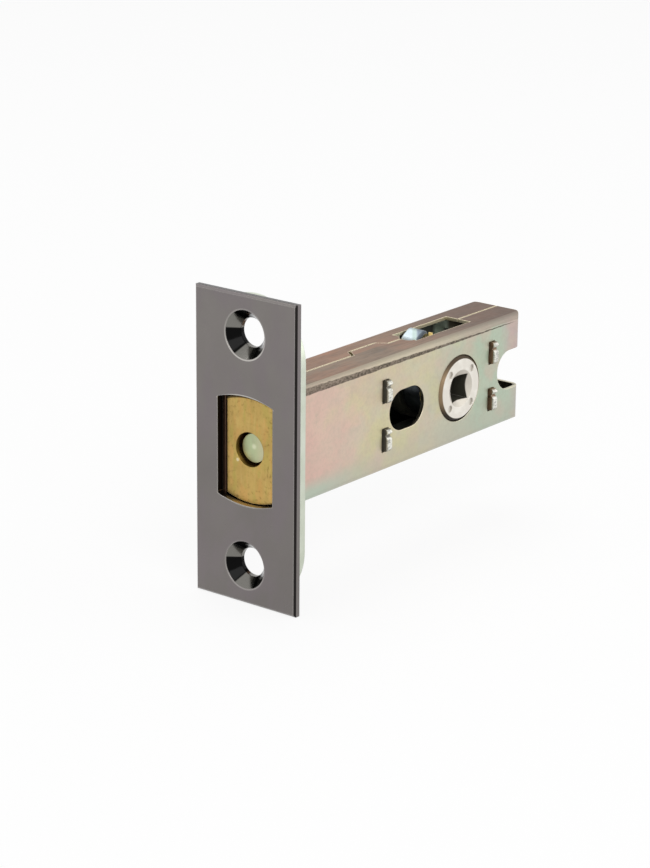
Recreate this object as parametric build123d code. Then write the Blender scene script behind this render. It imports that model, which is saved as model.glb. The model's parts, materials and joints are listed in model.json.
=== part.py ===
# Tubular deadbolt for a door: a round-cornered pressed case with its forend, a
# barrel-section brass bolt, and a square-bored follower that throws the bolt.
# Frame: the front of the faceplate lies on X = 0 with its centre at the origin,
# +X runs into the door along the case, +Y to the far side and +Z up.
# The bolt is drawn back, as it leaves the shop.
import os
from math import radians, sin, tan

from build123d import *

os.makedirs("parts", exist_ok=True)

# Faceplate
plate_w = 24.2
plate_h = 60.0
plate_t = 1.4
plate_bevel = 0.4
opening_side_gap = 1.0
opening_end_gap = 0.1
opening_rise = 1.1

# Screw dimples, pressed through the forend
screw_end = 7.6
screw_hole_d = 5.6
screw_cone_d = 9.4
screw_cone_depth = 2.3
dimple_wall = 0.8

# Inner forend
forend_side_step = 0.25
forend_end_step = 0.3
forend_t = 1.8
dimple_clear = 0.1
case_fit = 0.02

# Case of two pressed halves
case_side_gap = 0.1
case_end_gap = 0.1
case_tail = 21.6
sheet = 0.75
bend_r = 1.4
rear_r = 2.2
seam_gap = 0.24
tongue_lead = 1.5
tongue_length = 11.0
tongue_reach = 2.1
tongue_slope = 1.6
tongue_play = 0.6

# Window in the top of the case
window_front = 9.7
window_rear = 8.2
window_w = 6.0
window_relief_r = 1.9

# Holes for the fixings that pass through the case
fixing_offset = 17.2
fixing_w = 8.2
fixing_slot_l = 11.2

# Spacers that tie the case halves together
spacer_t = 1.3
spacer_gap = 0.3
spacer_gate = 6.8
spacer_bar_top = -0.5
spacer_bar_h = 4.5
front_spacer_gap = 2.6
rear_spacer_offset = 10.7
stake_h = 4.5
stake_z = 4.9
stake_stand = 1.0
stake_fit = 0.12
stake_lead = 0.7
stake_groove = 0.9
stake_groove_up = 0.9
stake_bevel = 0.5

# Bolt
bolt_w = 11.3
bolt_h = 21.0
bolt_rise = 1.0
bolt_l = 30.0
bolt_recess = 1.4
bolt_bevel = 0.25
pin_d = 5.6
pin_l = 23.0
pin_recess = 1.3
pin_fit = 0.03
pin_mouth_d = 6.7
pin_mouth_depth = 5.0

# Draw bar between the bolt and the follower
bar_w = 8.4
bar_t = 1.8
bar_floor_gap = 0.8
bar_hold = 11.0
bar_prong_h = 0.5
bar_prong_t = 1.1
bar_prong_w = 5.0
bar_slot_w = 6.2
bar_fit = 0.05
draw_pin_d = 3.0
draw_pin_l = 5.5
draw_pin_pitch = 5.5

# Follower
backset = 57.0
hub_hole_play = 0.08
hub_face_d = 12.1
hub_bevel = 0.7
hub_stand = 0.45
hub_flange_step = 0.95
hub_end_play = 0.1
hub_gap_w = 5.4
spindle = 5.1
spindle_cone_step = 1.3
spindle_cone_tilt = 30.0
key_wall = 1.15
key_fit = 0.05
hub_dimple_d = 1.5
hub_dimple_depth = 0.2
index_r = 1.0
index_depth = 0.5

# Cam of the follower
turn = 90.0
cam_step = 1.1
cam_fit = 0.05
cam_side_t = 1.0
finger_stand = 1.75
finger_w = 4.8
finger_round = 1.6
finger_bevel = 0.5
finger_lean = 30.0
arm_floor_gap = 0.6
arm_tip_r = 1.2
arm_root_w = 2.8
arm_fit = 0.36
horn_stand = 0.8
horn_w = 1.1
horn_tip_w = 2.4
horn_tip_l = 2.0
horn_notch = 0.8
horn_lean = 24.5
cam_rivet_d = 1.6

# Detent spring on the rear spacer
leaf_t = 0.4
leaf_w = 1.8
leaf_seat = 0.15
leaf_hook = 1.4
leaf_bow = 3.4
leaf_bend_r = 0.5
leaf_tip_gap = 0.1

# Sizes and places that follow
forend_back = plate_t + forend_t
forend_w = plate_w - 2 * forend_side_step
forend_h = plate_h - 2 * forend_end_step
screw_pitch = plate_h - 2 * screw_end
opening_w = bolt_w + 2 * opening_side_gap
opening_h = bolt_h + 2 * opening_end_gap
wall_y = bolt_w / 2 + case_side_gap
floor_z = bolt_h / 2 + case_end_gap
half_w = wall_y + sheet
half_h = floor_z + sheet
case_w = 2 * half_w
case_h = 2 * half_h
hub_x = backset + plate_t
case_end = hub_x + case_tail
window_start = hub_x - window_front
window_end = hub_x + window_rear
fixing_front_x = hub_x - fixing_offset
fixing_rear_x = hub_x + fixing_offset
front_spacer_x = bolt_recess + bolt_l + front_spacer_gap
rear_spacer_x = hub_x + rear_spacer_offset
tongue_start = front_spacer_x - tongue_lead
hub_d = hub_face_d + 2 * hub_bevel
hub_flange_d = hub_d + 2 * hub_flange_step
gap_half = hub_gap_w / 2
spindle_cone_d = spindle + 2 * spindle_cone_step
spindle_cone_depth = spindle_cone_d / 2 * tan(radians(spindle_cone_tilt))
key_square = spindle + 2 * key_wall
hub_dimple_circle_d = (spindle_cone_d + hub_face_d) / 2
cam_d = hub_flange_d - 2 * cam_step
side_near = cam_fit - gap_half
cam_near = side_near + cam_side_t + cam_fit
finger_r = half_h + finger_stand
horn_r = half_h + horn_stand
arm_r = floor_z - arm_floor_gap - arm_tip_r
arm_start_x = hub_x + arm_r * sin(radians(turn / 2))
bar_low = bar_floor_gap - floor_z
bar_high = bar_low + bar_t
bar_front = bolt_recess + bolt_l - bar_hold
prong_half = arm_tip_r + arm_fit
bar_end = arm_start_x + prong_half + bar_prong_t
spacer_h = -2 * (bar_high + spacer_gap)


def slab(outline, y_low, y_high):
    """Solid of an outline drawn in X and Z, between two Y values."""
    face = Plane((0, y_high, 0), x_dir=(1, 0, 0), z_dir=(0, -1, 0)) * outline
    return extrude(face, y_high - y_low)


def block(outline, x_low, x_high):
    """Solid of an outline drawn in Y and Z, between two X values."""
    return extrude(Pos(x_low, 0, 0) * (Plane.YZ * outline), x_high - x_low)


def barrel(width, height, rise):
    """Section with straight sides and an arched top and bottom."""
    side = height / 2 - rise
    edges = [
        Line((-width / 2, -side), (-width / 2, side)),
        ThreePointArc((-width / 2, side), (0, height / 2), (width / 2, side)),
        Line((width / 2, side), (width / 2, -side)),
        ThreePointArc((width / 2, -side), (0, -height / 2), (-width / 2, -side)),
    ]
    return make_face(edges)


def dimple(grow, start):
    """Funnel of a screw dimple, as a solid grown outwards and cut at its start."""
    cone, hole = screw_cone_d / 2 + grow, screw_hole_d / 2 + grow
    at_start = cone + (hole - cone) * start / screw_cone_depth
    outline = Polygon(
        (start, 0), (start, at_start), (screw_cone_depth, hole), (forend_back, hole), (forend_back, 0),
        align=None,
    )
    solid = revolve(outline, Axis.X)
    return [Pos(0, 0, z) * solid for z in (-screw_pitch / 2, screw_pitch / 2)]


def make_faceplate():
    """Flat square-cornered plate with an arched opening and two pressed screw dimples."""
    plate = block(Rectangle(plate_w, plate_h), 0, plate_t)
    front = plate.faces().sort_by(Axis.X)[0]
    plate = chamfer(front.edges(), plate_bevel)
    plate += dimple(dimple_wall, 0)
    plate -= dimple(0, 0)
    return plate - block(barrel(opening_w, opening_h, opening_rise), 0, plate_t)


def make_forend():
    """Thicker plate with round ends behind the faceplate, pressed over the front of the case."""
    plate = block(SlotOverall(forend_h, forend_w, rotation=90), plate_t, forend_back)
    plate -= dimple(dimple_wall + dimple_clear, plate_t)
    passage = RectangleRounded(case_w + 2 * case_fit, case_h + 2 * case_fit, bend_r + case_fit)
    return plate - block(passage, plate_t, forend_back)


def seam_side(shift, outer, play):
    """Plan outline of one case half, up to the seam with its sloped tongue."""
    tongue_end = tongue_start + tongue_length
    seam = [
        (0, shift),
        (tongue_start - play, shift),
        (tongue_start - play + tongue_slope, tongue_reach + shift),
        (tongue_end - tongue_slope, tongue_reach + shift),
        (tongue_end, shift),
        (case_end + 1, shift),
    ]
    return make_face(Polyline(*seam, (case_end + 1, outer), (0, outer), close=True))


def pressing(across, up, bend, corner, end):
    """Long box with bends along its edges and rear corners that are round from above."""
    section = block(RectangleRounded(2 * across, 2 * up, bend), plate_t, end)
    plan = Pos((plate_t + end) / 2, 0) * Rectangle(end - plate_t, 2 * across)
    plan = fillet(plan.vertices().group_by(Axis.X)[-1], corner)
    return section & Pos(0, 0, -up) * extrude(plan, 2 * up)


def make_case():
    """The two pressed halves: walls, rolled edges, rear wall, holes and seam."""
    shell = pressing(half_w, half_h, bend_r, rear_r, case_end)
    shell -= pressing(wall_y, floor_z, bend_r - sheet, rear_r - sheet, case_end - sheet)
    holes = Pos(hub_x, 0) * Circle(hub_d / 2 + hub_hole_play)
    holes += Pos(fixing_front_x, 0) * SlotOverall(fixing_slot_l, fixing_w)
    holes += Pos(fixing_rear_x, 0) * Circle(fixing_w / 2)
    holes += Pos((fixing_rear_x + case_end + 1) / 2, 0) * Rectangle(case_end + 1 - fixing_rear_x, fixing_w)
    for x in (front_spacer_x, rear_spacer_x):
        for z in (-stake_z, stake_z):
            slot = Rectangle(stake_lead + spacer_t + stake_fit, stake_h + 2 * stake_fit)
            holes += Pos(x + (spacer_t + stake_fit - stake_lead) / 2, z) * slot
    shell -= slab(holes, -case_w, case_w)
    window = Pos((window_start + window_end) / 2, 0) * Rectangle(window_end - window_start, window_w)
    window += Pos(window_start + window_relief_r / 4, -window_relief_r / 3) * Circle(window_relief_r)
    shell -= extrude(window, case_h)
    near = shell & Pos(0, 0, -case_h) * extrude(seam_side(-seam_gap / 2, -case_w, 0), 2 * case_h)
    far = shell & Pos(0, 0, -case_h) * extrude(seam_side(seam_gap / 2, case_w, tongue_play), 2 * case_h)
    return near, far


def make_spacer(x):
    """Cross plate with an open gate above and below its bar and four staked tabs."""
    plate = Rectangle(2 * wall_y, spacer_h)
    bar_low_z = spacer_bar_top - spacer_bar_h
    tip_y = half_w + stake_stand
    for z in (-stake_z, stake_z):
        tabs = Rectangle(2 * tip_y, stake_h)
        tabs = chamfer(tabs.vertices(), stake_bevel)
        for y in (-tip_y, tip_y):
            tabs -= Pos(y, stake_groove_up) * Rectangle(stake_groove, stake_groove, rotation=45)
        plate += Pos(0, z) * tabs
    plate -= Pos(0, spacer_bar_top + spacer_h / 2) * Rectangle(spacer_gate, spacer_h)
    plate -= Pos(0, bar_low_z - spacer_h / 2) * Rectangle(spacer_gate, spacer_h)
    return block(plate, x, x + spacer_t)


def make_bolt():
    """Brass bolt with its pin bore, the groove for the draw bar and two pin holes."""
    rear = bolt_recess + bolt_l
    bolt = block(barrel(bolt_w, bolt_h, bolt_rise), bolt_recess, rear)
    bolt = chamfer(bolt.faces().sort_by(Axis.X)[0].edges(), bolt_bevel)
    bolt -= block(Circle(pin_mouth_d / 2), bolt_recess, bolt_recess + pin_mouth_depth)
    bolt -= block(Circle(pin_d / 2 + pin_fit), bolt_recess, bolt_recess + pin_recess + pin_l)
    groove = Pos(0, bar_high - bolt_h / 2) * Rectangle(bar_w + 2 * bar_fit, bolt_h)
    bolt -= block(groove, bar_front - bar_fit, rear)
    return bolt - make_draw_pins()


def make_pin():
    """Hardened pin along the bolt, set back in its bore."""
    start = bolt_recess + pin_recess
    return block(Circle(pin_d / 2), start, start + pin_l)


def make_draw_pins():
    """Pins pressed up through the draw bar into the bolt."""
    middle = bar_front + bar_hold / 2
    pin = extrude(Circle(draw_pin_d / 2), draw_pin_l)
    return [Pos(middle + s * draw_pin_pitch / 2, 0, bar_low) * pin for s in (-1, 1)]


def make_draw_bar():
    """Flat bar with an arm slot between two upright prongs."""
    bar = Pos((bar_front + bar_end) / 2, 0) * Rectangle(bar_end - bar_front, bar_w)
    bar -= Pos(arm_start_x, 0) * Rectangle(2 * prong_half, bar_slot_w)
    solid = Pos(0, 0, bar_low) * extrude(bar, bar_t)
    for side in (-1, 1):
        prong_x = arm_start_x + side * (prong_half + bar_prong_t / 2)
        prong = Pos(prong_x, 0) * Rectangle(bar_prong_t, bar_prong_w)
        solid += Pos(0, 0, bar_low) * extrude(prong, bar_t + bar_prong_h)
    return solid - make_draw_pins()


def key_hole():
    """Square hole of a cam plate for the keys of the bushes."""
    return Rectangle(key_square + 2 * key_fit, key_square + 2 * key_fit)


def make_cam():
    """Cam with a rounded finger above and a tapered arm below, leaning apart."""
    finger = Pos(0, finger_r / 2) * Rectangle(finger_w, finger_r)
    finger = fillet(finger.vertices().group_by(Axis.Y)[-1], finger_round)
    root, tip = arm_root_w / 2, arm_tip_r
    arm = make_face(Polyline((-root, 0), (root, 0), (tip, -arm_r), (-tip, -arm_r), close=True))
    arm += Pos(0, -arm_r) * Circle(arm_tip_r)
    cam_far = gap_half - cam_fit
    finger = slab(finger, cam_near, cam_far)
    finger = chamfer(finger.faces().sort_by(Axis.Z)[-1].edges(), finger_bevel)
    cam = slab(Circle(cam_d / 2) + Rot(0, 0, turn / 2) * arm, cam_near, cam_far)
    cam += Rot(0, -finger_lean, 0) * finger
    cam = Pos(hub_x, 0, 0) * (cam - slab(key_hole(), cam_near, cam_far))
    return cam - make_cam_rivets()


def make_cam_side():
    """Thin plate beside the cam with an upright horn that is forked at its tip."""
    stem_l = horn_r - horn_tip_l
    horn = Pos(0, stem_l / 2) * Rectangle(horn_w, stem_l)
    fork = Polyline(
        (-horn_w / 2, stem_l), (horn_w / 2, stem_l),
        (horn_tip_w / 2, horn_r), (0, horn_r - horn_notch), (-horn_tip_w / 2, horn_r), close=True,
    )
    outline = Circle(cam_d / 2) + Rot(0, 0, horn_lean) * (horn + make_face(fork))
    plate = Pos(hub_x, 0, 0) * slab(outline - key_hole(), side_near, side_near + cam_side_t)
    return plate - make_cam_rivets()


def make_cam_rivets():
    """Two rivets through both cam plates, level with their outer faces."""
    reach = (cam_d / 2 + key_square / 2 + key_fit) / 2
    rivets = []
    for side in (-1, 1):
        rivet = slab(Pos(side * reach, 0) * Circle(cam_rivet_d / 2), side_near, gap_half - cam_fit)
        rivets.append(Pos(hub_x, 0, 0) * rivet)
    return rivets


def make_bush():
    """Near bush: journal with bevelled rim, flange with detents, key and square bore."""
    face_y = -half_w - hub_stand
    bush = slab(Circle(hub_d / 2), face_y, -gap_half)
    bush = chamfer(bush.edges().group_by(Axis.Y)[0], hub_bevel)
    flange = Circle(hub_flange_d / 2)
    at = hub_flange_d / 2 - index_depth + index_r
    flange -= Pos(at, 0) * Circle(index_r)
    flange -= Pos(0, at) * Circle(index_r)
    bush += slab(flange, hub_end_play - wall_y, -gap_half)
    bush += slab(Rectangle(key_square, key_square), -gap_half, -key_fit)
    bush -= slab(Rectangle(spindle, spindle), face_y, 0)
    cone = Polygon((0, face_y), (spindle_cone_d / 2, face_y), (0, face_y + spindle_cone_depth), align=None)
    bush -= revolve(cone, Axis.Y)
    marks = Sketch() + PolarLocations(hub_dimple_circle_d / 2, 4, 45) * Circle(hub_dimple_d / 2)
    bush -= slab(marks, face_y, face_y + hub_dimple_depth)
    return Pos(hub_x, 0, 0) * bush


def make_leaf():
    """Spring leaf clipped over one side of the rear spacer, bowed into the detent."""
    h = leaf_t / 2
    front = rear_spacer_x - leaf_seat - h
    back = rear_spacer_x + spacer_t + leaf_seat + h
    top = spacer_h / 2 + leaf_seat + h
    tip = hub_x + hub_flange_d / 2 - index_depth + leaf_tip_gap + h
    half = [(tip, 0), (front, leaf_bow), (front, top), (back, top), (back, top - leaf_hook)]
    path = [(x, -z) for x, z in half[:0:-1]] + half
    strip = trace(FilletPolyline(*path, radius=leaf_bend_r), leaf_t)
    middle = -(wall_y + spacer_gate / 2) / 2
    return slab(strip, middle - leaf_w / 2, middle + leaf_w / 2)


case_near, case_far = make_case()
bush_near = make_bush()
nodes = {
    "faceplate": make_faceplate(),
    "inner_forend": make_forend(),
    "case_near": case_near,
    "case_far": case_far,
    "spacer_front": make_spacer(front_spacer_x),
    "spacer_rear": make_spacer(rear_spacer_x),
    "bolt": make_bolt(),
    "bolt_pin": make_pin(),
    "draw_bar": make_draw_bar(),
    "draw_pins": Compound(make_draw_pins()),
    "cam": make_cam(),
    "cam_side": make_cam_side(),
    "cam_rivets": Compound(make_cam_rivets()),
    "bush_near": bush_near,
    "bush_far": bush_near.rotate(Axis.X, 180),
    "detent_spring": make_leaf(),
}

for name, shape in nodes.items():
    export_step(shape, f"parts/{name}.step")
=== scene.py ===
"""Tubular deadbolt: the finishes of its pieces, the studio and the camera.

Places and sizes are in millimetres, in the frame that the part was modelled in. A name that ends
in _sq holds squares of a distance, for round masks.
"""

from __future__ import annotations

import json
import logging
from dataclasses import dataclass
from enum import Enum
from typing import Any, Union

import bpy
from mathutils import Matrix, Vector

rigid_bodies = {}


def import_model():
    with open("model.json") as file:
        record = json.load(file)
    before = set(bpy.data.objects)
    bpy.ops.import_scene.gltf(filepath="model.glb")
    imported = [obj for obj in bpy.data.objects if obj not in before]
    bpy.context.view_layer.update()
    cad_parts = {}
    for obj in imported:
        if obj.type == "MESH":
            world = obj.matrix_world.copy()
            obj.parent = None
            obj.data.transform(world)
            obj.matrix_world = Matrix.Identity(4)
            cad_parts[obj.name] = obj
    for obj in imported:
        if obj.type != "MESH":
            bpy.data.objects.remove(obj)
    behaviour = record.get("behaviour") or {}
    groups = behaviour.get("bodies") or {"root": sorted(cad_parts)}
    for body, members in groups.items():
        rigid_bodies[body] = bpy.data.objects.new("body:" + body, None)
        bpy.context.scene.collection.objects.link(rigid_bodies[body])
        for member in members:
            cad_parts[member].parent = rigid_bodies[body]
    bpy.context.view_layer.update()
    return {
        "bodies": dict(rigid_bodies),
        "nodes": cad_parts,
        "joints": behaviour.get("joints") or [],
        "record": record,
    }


LOG = logging.getLogger("deadbolt")
MM = 0.001
WHITE = (1.0, 1.0, 1.0, 1.0)

# Half width over which a sign turns, slant of a noise pattern's shift, and the bump's full height.
SIGN_TURN = 0.1
SEED_SLANT = 1.7
RELIEF_DEPTH = 0.1

# Quality of the rounded edges, the turn of the normal that counts as an edge, limits of roughness.
EDGE_SAMPLES = 6
EDGE_TURN = (0.01, 0.16)
ROUGHNESS_LIMITS = (0.08, 0.9)

# A span is where a mask starts and where it is full. A band is low, high and half its soft edge.
Colour = tuple[float, float, float]
Point = tuple[float, float, float]
Span = tuple[float, float]
Band = tuple[float, float, float]
Value = Union["Wire", float, int]
Settings = dict[str, Any] | None
Inputs = dict[Any, Any] | None


@dataclass(frozen=True)
class Cloud:
    """Noise of so many waves per millimetre, and the two levels between which a mask of it rises."""

    scale: float
    detail: float = 3.0
    low: float = 0.0
    high: float = 1.0
    stretch: Point = (1.0, 1.0, 1.0)
    seed: float = 0.0


@dataclass(frozen=True)
class Tone:
    """Colour laid over another, its share where it lies fully, and the clouds that it lies in."""

    colour: Colour
    share: float = 1.0
    cloud: Cloud | None = None


class Grain(Enum):
    """Fine relief that a way of making leaves on metal: noise patterns, each with its height."""

    POLISHED = ((Cloud(1.6, 2.0), 0.2),)
    PRESSED = ((Cloud(0.8, 4.0), 0.8), (Cloud(4.0, 2.0, seed=7.0), 0.3))
    DRAWN = ((Cloud(1.0, 4.0, stretch=(0.15, 3.0, 3.0)), 0.7), (Cloud(1.2), 0.5))
    CAST = ((Cloud(2.4, 5.0), 1.0),)


class Wire:
    """A shader socket that takes part in Python arithmetic."""

    def __init__(self, graph: Graph, socket: bpy.types.NodeSocket) -> None:
        """Wraps a socket of a graph.

        Args:
            graph: the graph that the socket belongs to.
            socket: the output socket.
        """
        self.graph = graph
        self.socket = socket

    def _math(self, operation: str, first: Value, second: Value = 0.0) -> Wire:
        """Adds a Math node.

        Args:
            operation: the node's operation.
            first: its first value.
            second: its second value.

        Returns:
            The node's result.
        """
        return self.graph.node("ShaderNodeMath", {"operation": operation}, {0: first, 1: second})

    def __add__(self, other: Value) -> Wire:
        """Sum."""
        return self._math("ADD", self, other)

    def __radd__(self, other: Value) -> Wire:
        """Sum, with the value first."""
        return self._math("ADD", other, self)

    def __sub__(self, other: Value) -> Wire:
        """Difference."""
        return self._math("SUBTRACT", self, other)

    def __rsub__(self, other: Value) -> Wire:
        """Difference, with the value first."""
        return self._math("SUBTRACT", other, self)

    def __mul__(self, other: Value) -> Wire:
        """Product."""
        return self._math("MULTIPLY", self, other)

    def __rmul__(self, other: Value) -> Wire:
        """Product, with the value first."""
        return self._math("MULTIPLY", other, self)

    def __truediv__(self, other: Value) -> Wire:
        """Quotient."""
        return self._math("DIVIDE", self, other)

    def __neg__(self) -> Wire:
        """Opposite."""
        return self._math("MULTIPLY", self, -1.0)

    def least(self, other: Value) -> Wire:
        """Smaller of the two."""
        return self._math("MINIMUM", self, other)

    def most(self, other: Value) -> Wire:
        """Larger of the two."""
        return self._math("MAXIMUM", self, other)

    def size(self) -> Wire:
        """Absolute value."""
        return self._math("ABSOLUTE", self)

    def square(self) -> Wire:
        """Square."""
        return self._math("MULTIPLY", self, self)

    def root(self) -> Wire:
        """Square root."""
        return self._math("SQRT", self)

    def sign(self) -> Wire:
        """Soft sign: -1 below zero and 1 above it."""
        return self.rise(-SIGN_TURN, SIGN_TURN) * 2 - 1

    def rise(self, low: float, high: float) -> Wire:
        """Smooth rise from 0 to 1.

        Args:
            low: value below which the result is 0.
            high: value above which the result is 1.

        Returns:
            The mask.
        """
        ends = {"Value": self, "From Min": low, "From Max": high}
        return self.graph.node("ShaderNodeMapRange", {"interpolation_type": "SMOOTHSTEP"}, ends)

    def fall(self, low: float, high: float) -> Wire:
        """Smooth fall from 1 to 0."""
        return 1 - self.rise(low, high)

    def within(self, low: float, high: float, soft: float) -> Wire:
        """Band that is 1 between two values.

        Args:
            low: lower edge.
            high: upper edge.
            soft: half the width of each edge.

        Returns:
            The mask.
        """
        return self.rise(low - soft, low + soft) * self.fall(high - soft, high + soft)


class Graph:
    """Node tree of a material or of the world."""

    def __init__(self, owner: bpy.types.Material | bpy.types.World) -> None:
        """Empties the owner's node tree.

        Args:
            owner: the material or world that the nodes belong to.
        """
        owner.use_nodes = True
        self.owner = owner
        self.tree = owner.node_tree
        self.tree.nodes.clear()

    def make(self, kind: str, settings: Settings = None, inputs: Inputs = None) -> bpy.types.Node:
        """Makes any node.

        Args:
            kind: the node's type.
            settings: its properties, and "stops" for a colour ramp.
            inputs: a value or a wire for each socket named or numbered.

        Returns:
            The node.
        """
        made = self.tree.nodes.new(kind)
        for key, value in (settings or {}).items():
            if key == "stops":
                ramp = made.color_ramp
                while len(ramp.elements) < len(value):
                    ramp.elements.new(1.0)
                for stop, (at, colour) in zip(ramp.elements, value):
                    stop.position = at
                    stop.color = (*colour, 1.0)
            else:
                setattr(made, key, value)
        for key, value in (inputs or {}).items():
            if isinstance(value, Wire):
                self.tree.links.new(value.socket, made.inputs[key])
            else:
                made.inputs[key].default_value = value
        return made

    def node(
        self, kind: str, settings: Settings = None, inputs: Inputs = None, output: str | int = 0
    ) -> Wire:
        """Makes a node and wraps one of its outputs.

        Args:
            kind: the node's type.
            settings: its properties.
            inputs: a value or a wire for each socket.
            output: the output to wrap.

        Returns:
            The chosen output.
        """
        return Wire(self, self.make(kind, settings, inputs).outputs[output])

    def seen(self) -> Wire:
        """Mask of the rays that show the background.

        Returns:
            1 for camera, glossy and transmission rays.
        """
        rays = self.make("ShaderNodeLightPath").outputs
        kinds = ("Camera", "Glossy", "Transmission")
        camera, glossy, passed = (Wire(self, rays[f"Is {kind} Ray"]) for kind in kinds)
        return camera.most(glossy).most(passed)


class Surface(Graph):
    """Node tree of one material, with its Principled shader and places in millimetres."""

    def __init__(self, name: str) -> None:
        """Makes the material.

        Args:
            name: the material's name.
        """
        super().__init__(bpy.data.materials.new(name))
        self.shader = self.make("ShaderNodeBsdfPrincipled")
        self.shaded = Wire(self, self.shader.outputs[0])
        self.output = self.make("ShaderNodeOutputMaterial", None, {"Surface": self.shaded})
        place = self.node("ShaderNodeTexCoord", output="Object")
        scaled = {0: place, "Scale": 1 / MM}
        self.place = self.node("ShaderNodeVectorMath", {"operation": "SCALE"}, scaled)
        split = self.make("ShaderNodeSeparateXYZ", None, {0: self.place})
        self.x, self.y, self.z = (Wire(self, out) for out in split.outputs)

    def mix(self, mask: Value, first: Any, second: Any) -> Wire:
        """Mixes two colours.

        Args:
            mask: how much of the second colour.
            first: colour or wire.
            second: colour or wire.

        Returns:
            The mixed colour.
        """
        ends = [c if isinstance(c, Wire) else (*c, 1.0) for c in (first, second)]
        settings = {"data_type": "RGBA", "clamp_factor": True}
        return self.node("ShaderNodeMix", settings, {0: mask, 6: ends[0], 7: ends[1]}, 2)

    def lay(self, under: Any, tone: Tone, where: Value = 1.0) -> Wire:
        """Lays a tone over a colour.

        Args:
            under: colour or wire.
            tone: the tone.
            where: mask of the places that it reaches.

        Returns:
            The colour with the tone on it.
        """
        mask = tone.share * where
        if tone.cloud:
            mask = self.cloud(tone.cloud) * mask
        return self.mix(mask, under, tone.colour)

    def noise(self, cloud: Cloud) -> Wire:
        """Noise of a pattern.

        Args:
            cloud: the pattern.

        Returns:
            A value around 0.5.
        """
        shift = (cloud.seed, cloud.seed * SEED_SLANT, -cloud.seed)
        turned = {"Vector": self.place, "Scale": cloud.stretch, "Location": shift}
        moved = self.node("ShaderNodeMapping", None, turned)
        waves = {"Vector": moved, "Scale": cloud.scale, "Detail": cloud.detail}
        return self.node("ShaderNodeTexNoise", None, waves)

    def drift(self, cloud: Cloud, swing: float) -> Wire:
        """Noise about zero."""
        return (self.noise(cloud) - 0.5) * swing

    def cloud(self, cloud: Cloud) -> Wire:
        """Mask of a noise pattern."""
        return self.noise(cloud).rise(cloud.low, cloud.high)

    def ramp(self, value: Wire, stops: tuple[tuple[float, Colour], ...]) -> Wire:
        """Colour ramp."""
        return self.node("ShaderNodeValToRGB", {"stops": stops}, {0: value})

    def edges(self, radius: float) -> tuple[Wire, Wire]:
        """Rounded look of sharp edges.

        Args:
            radius: radius of the edge.

        Returns:
            The rounded normal, and a mask that is 1 on the edges.
        """
        bevel = self.node("ShaderNodeBevel", {"samples": EDGE_SAMPLES}, {"Radius": radius * MM})
        face = self.node("ShaderNodeNewGeometry", output="Normal")
        turn = {"operation": "DOT_PRODUCT"}
        match = self.node("ShaderNodeVectorMath", turn, {0: bevel, 1: face}, 1)
        return bevel, (1 - match).rise(*EDGE_TURN)

    def core(self, half_y: Span, half_z: Span) -> Wire:
        """Mask of what lies within a half width and a half height."""
        return self.y.size().fall(*half_y) * self.z.size().fall(*half_z)

    def spot(self, centre: Point, radius: float, soft: float) -> Wire:
        """Round mark about a point.

        Args:
            centre: middle of the mark.
            radius: its radius.
            soft: half the width of its rim.

        Returns:
            A mask that is 1 inside.
        """
        apart = {"operation": "DISTANCE"}
        far = self.node("ShaderNodeVectorMath", apart, {0: self.place, 1: centre}, 1)
        return far.fall(radius - soft, radius + soft)

    def feed(self, socket: str, value: Any) -> None:
        """Sets or links a socket of the shader.

        Args:
            socket: the socket's name.
            value: a wire, number or colour.
        """
        target = self.shader.inputs[socket]
        if isinstance(value, Wire):
            self.tree.links.new(value.socket, target)
        else:
            target.default_value = value


@dataclass(frozen=True)
class Finish:
    """Plated or bare metal of one colour, with its grain, wear and edges."""

    name: str
    colour: Colour
    worn: Colour
    roughness: float
    metallic: float = 1.0
    grain: Grain = Grain.PRESSED
    relief: float = 0.05
    edge: float = 0.12
    edge_gain: float = 0.5
    wear: Cloud = Cloud(0.22, 5.0, 0.35, 0.75)
    wear_share: float = 0.5
    smear: Cloud = Cloud(0.9, 4.0, seed=3.0)
    smear_swing: float = 0.22

    def tint(self, graph: Surface) -> Wire:
        """Colour over the surface, paler where it is worn."""
        return graph.lay(self.colour, Tone(self.worn, self.wear_share, self.wear))

    def rub(self, graph: Surface, rim: Wire) -> Wire:
        """How far the edges are rubbed bright, from the mask of the edges."""
        return rim * self.edge_gain

    def shine(self, graph: Surface) -> Wire:
        """Roughness over the surface."""
        return self.roughness + graph.drift(self.smear, self.smear_swing)

    def metal(self, graph: Surface) -> Value:
        """Metallic over the surface."""
        return self.metallic

    def height(self, graph: Surface) -> Wire:
        """Fine relief of the grain."""
        first, *others = (graph.noise(cloud) * high for cloud, high in self.grain.value)
        return sum(others, first)

    def build(self) -> bpy.types.Material:
        """Makes the material.

        Returns:
            The finished material.
        """
        graph = Surface(self.name)
        normal, rim = graph.edges(self.edge)
        smooth, dull = ROUGHNESS_LIMITS
        graph.feed("Base Color", graph.mix(self.rub(graph, rim), self.tint(graph), self.worn))
        graph.feed("Roughness", self.shine(graph).most(smooth).least(dull))
        graph.feed("Metallic", self.metal(graph))
        bump = {"Strength": self.relief, "Distance": RELIEF_DEPTH * MM}
        bump |= {"Height": self.height(graph), "Normal": normal}
        graph.feed("Normal", graph.node("ShaderNodeBump", None, bump))
        return graph.owner


@dataclass(frozen=True)
class Gleam:
    """Wedge of painted reflection in a dimple, by its direction and by the cosines at which it starts
    and is full.
    """

    y: float
    z: float
    start: float
    full: float


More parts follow.
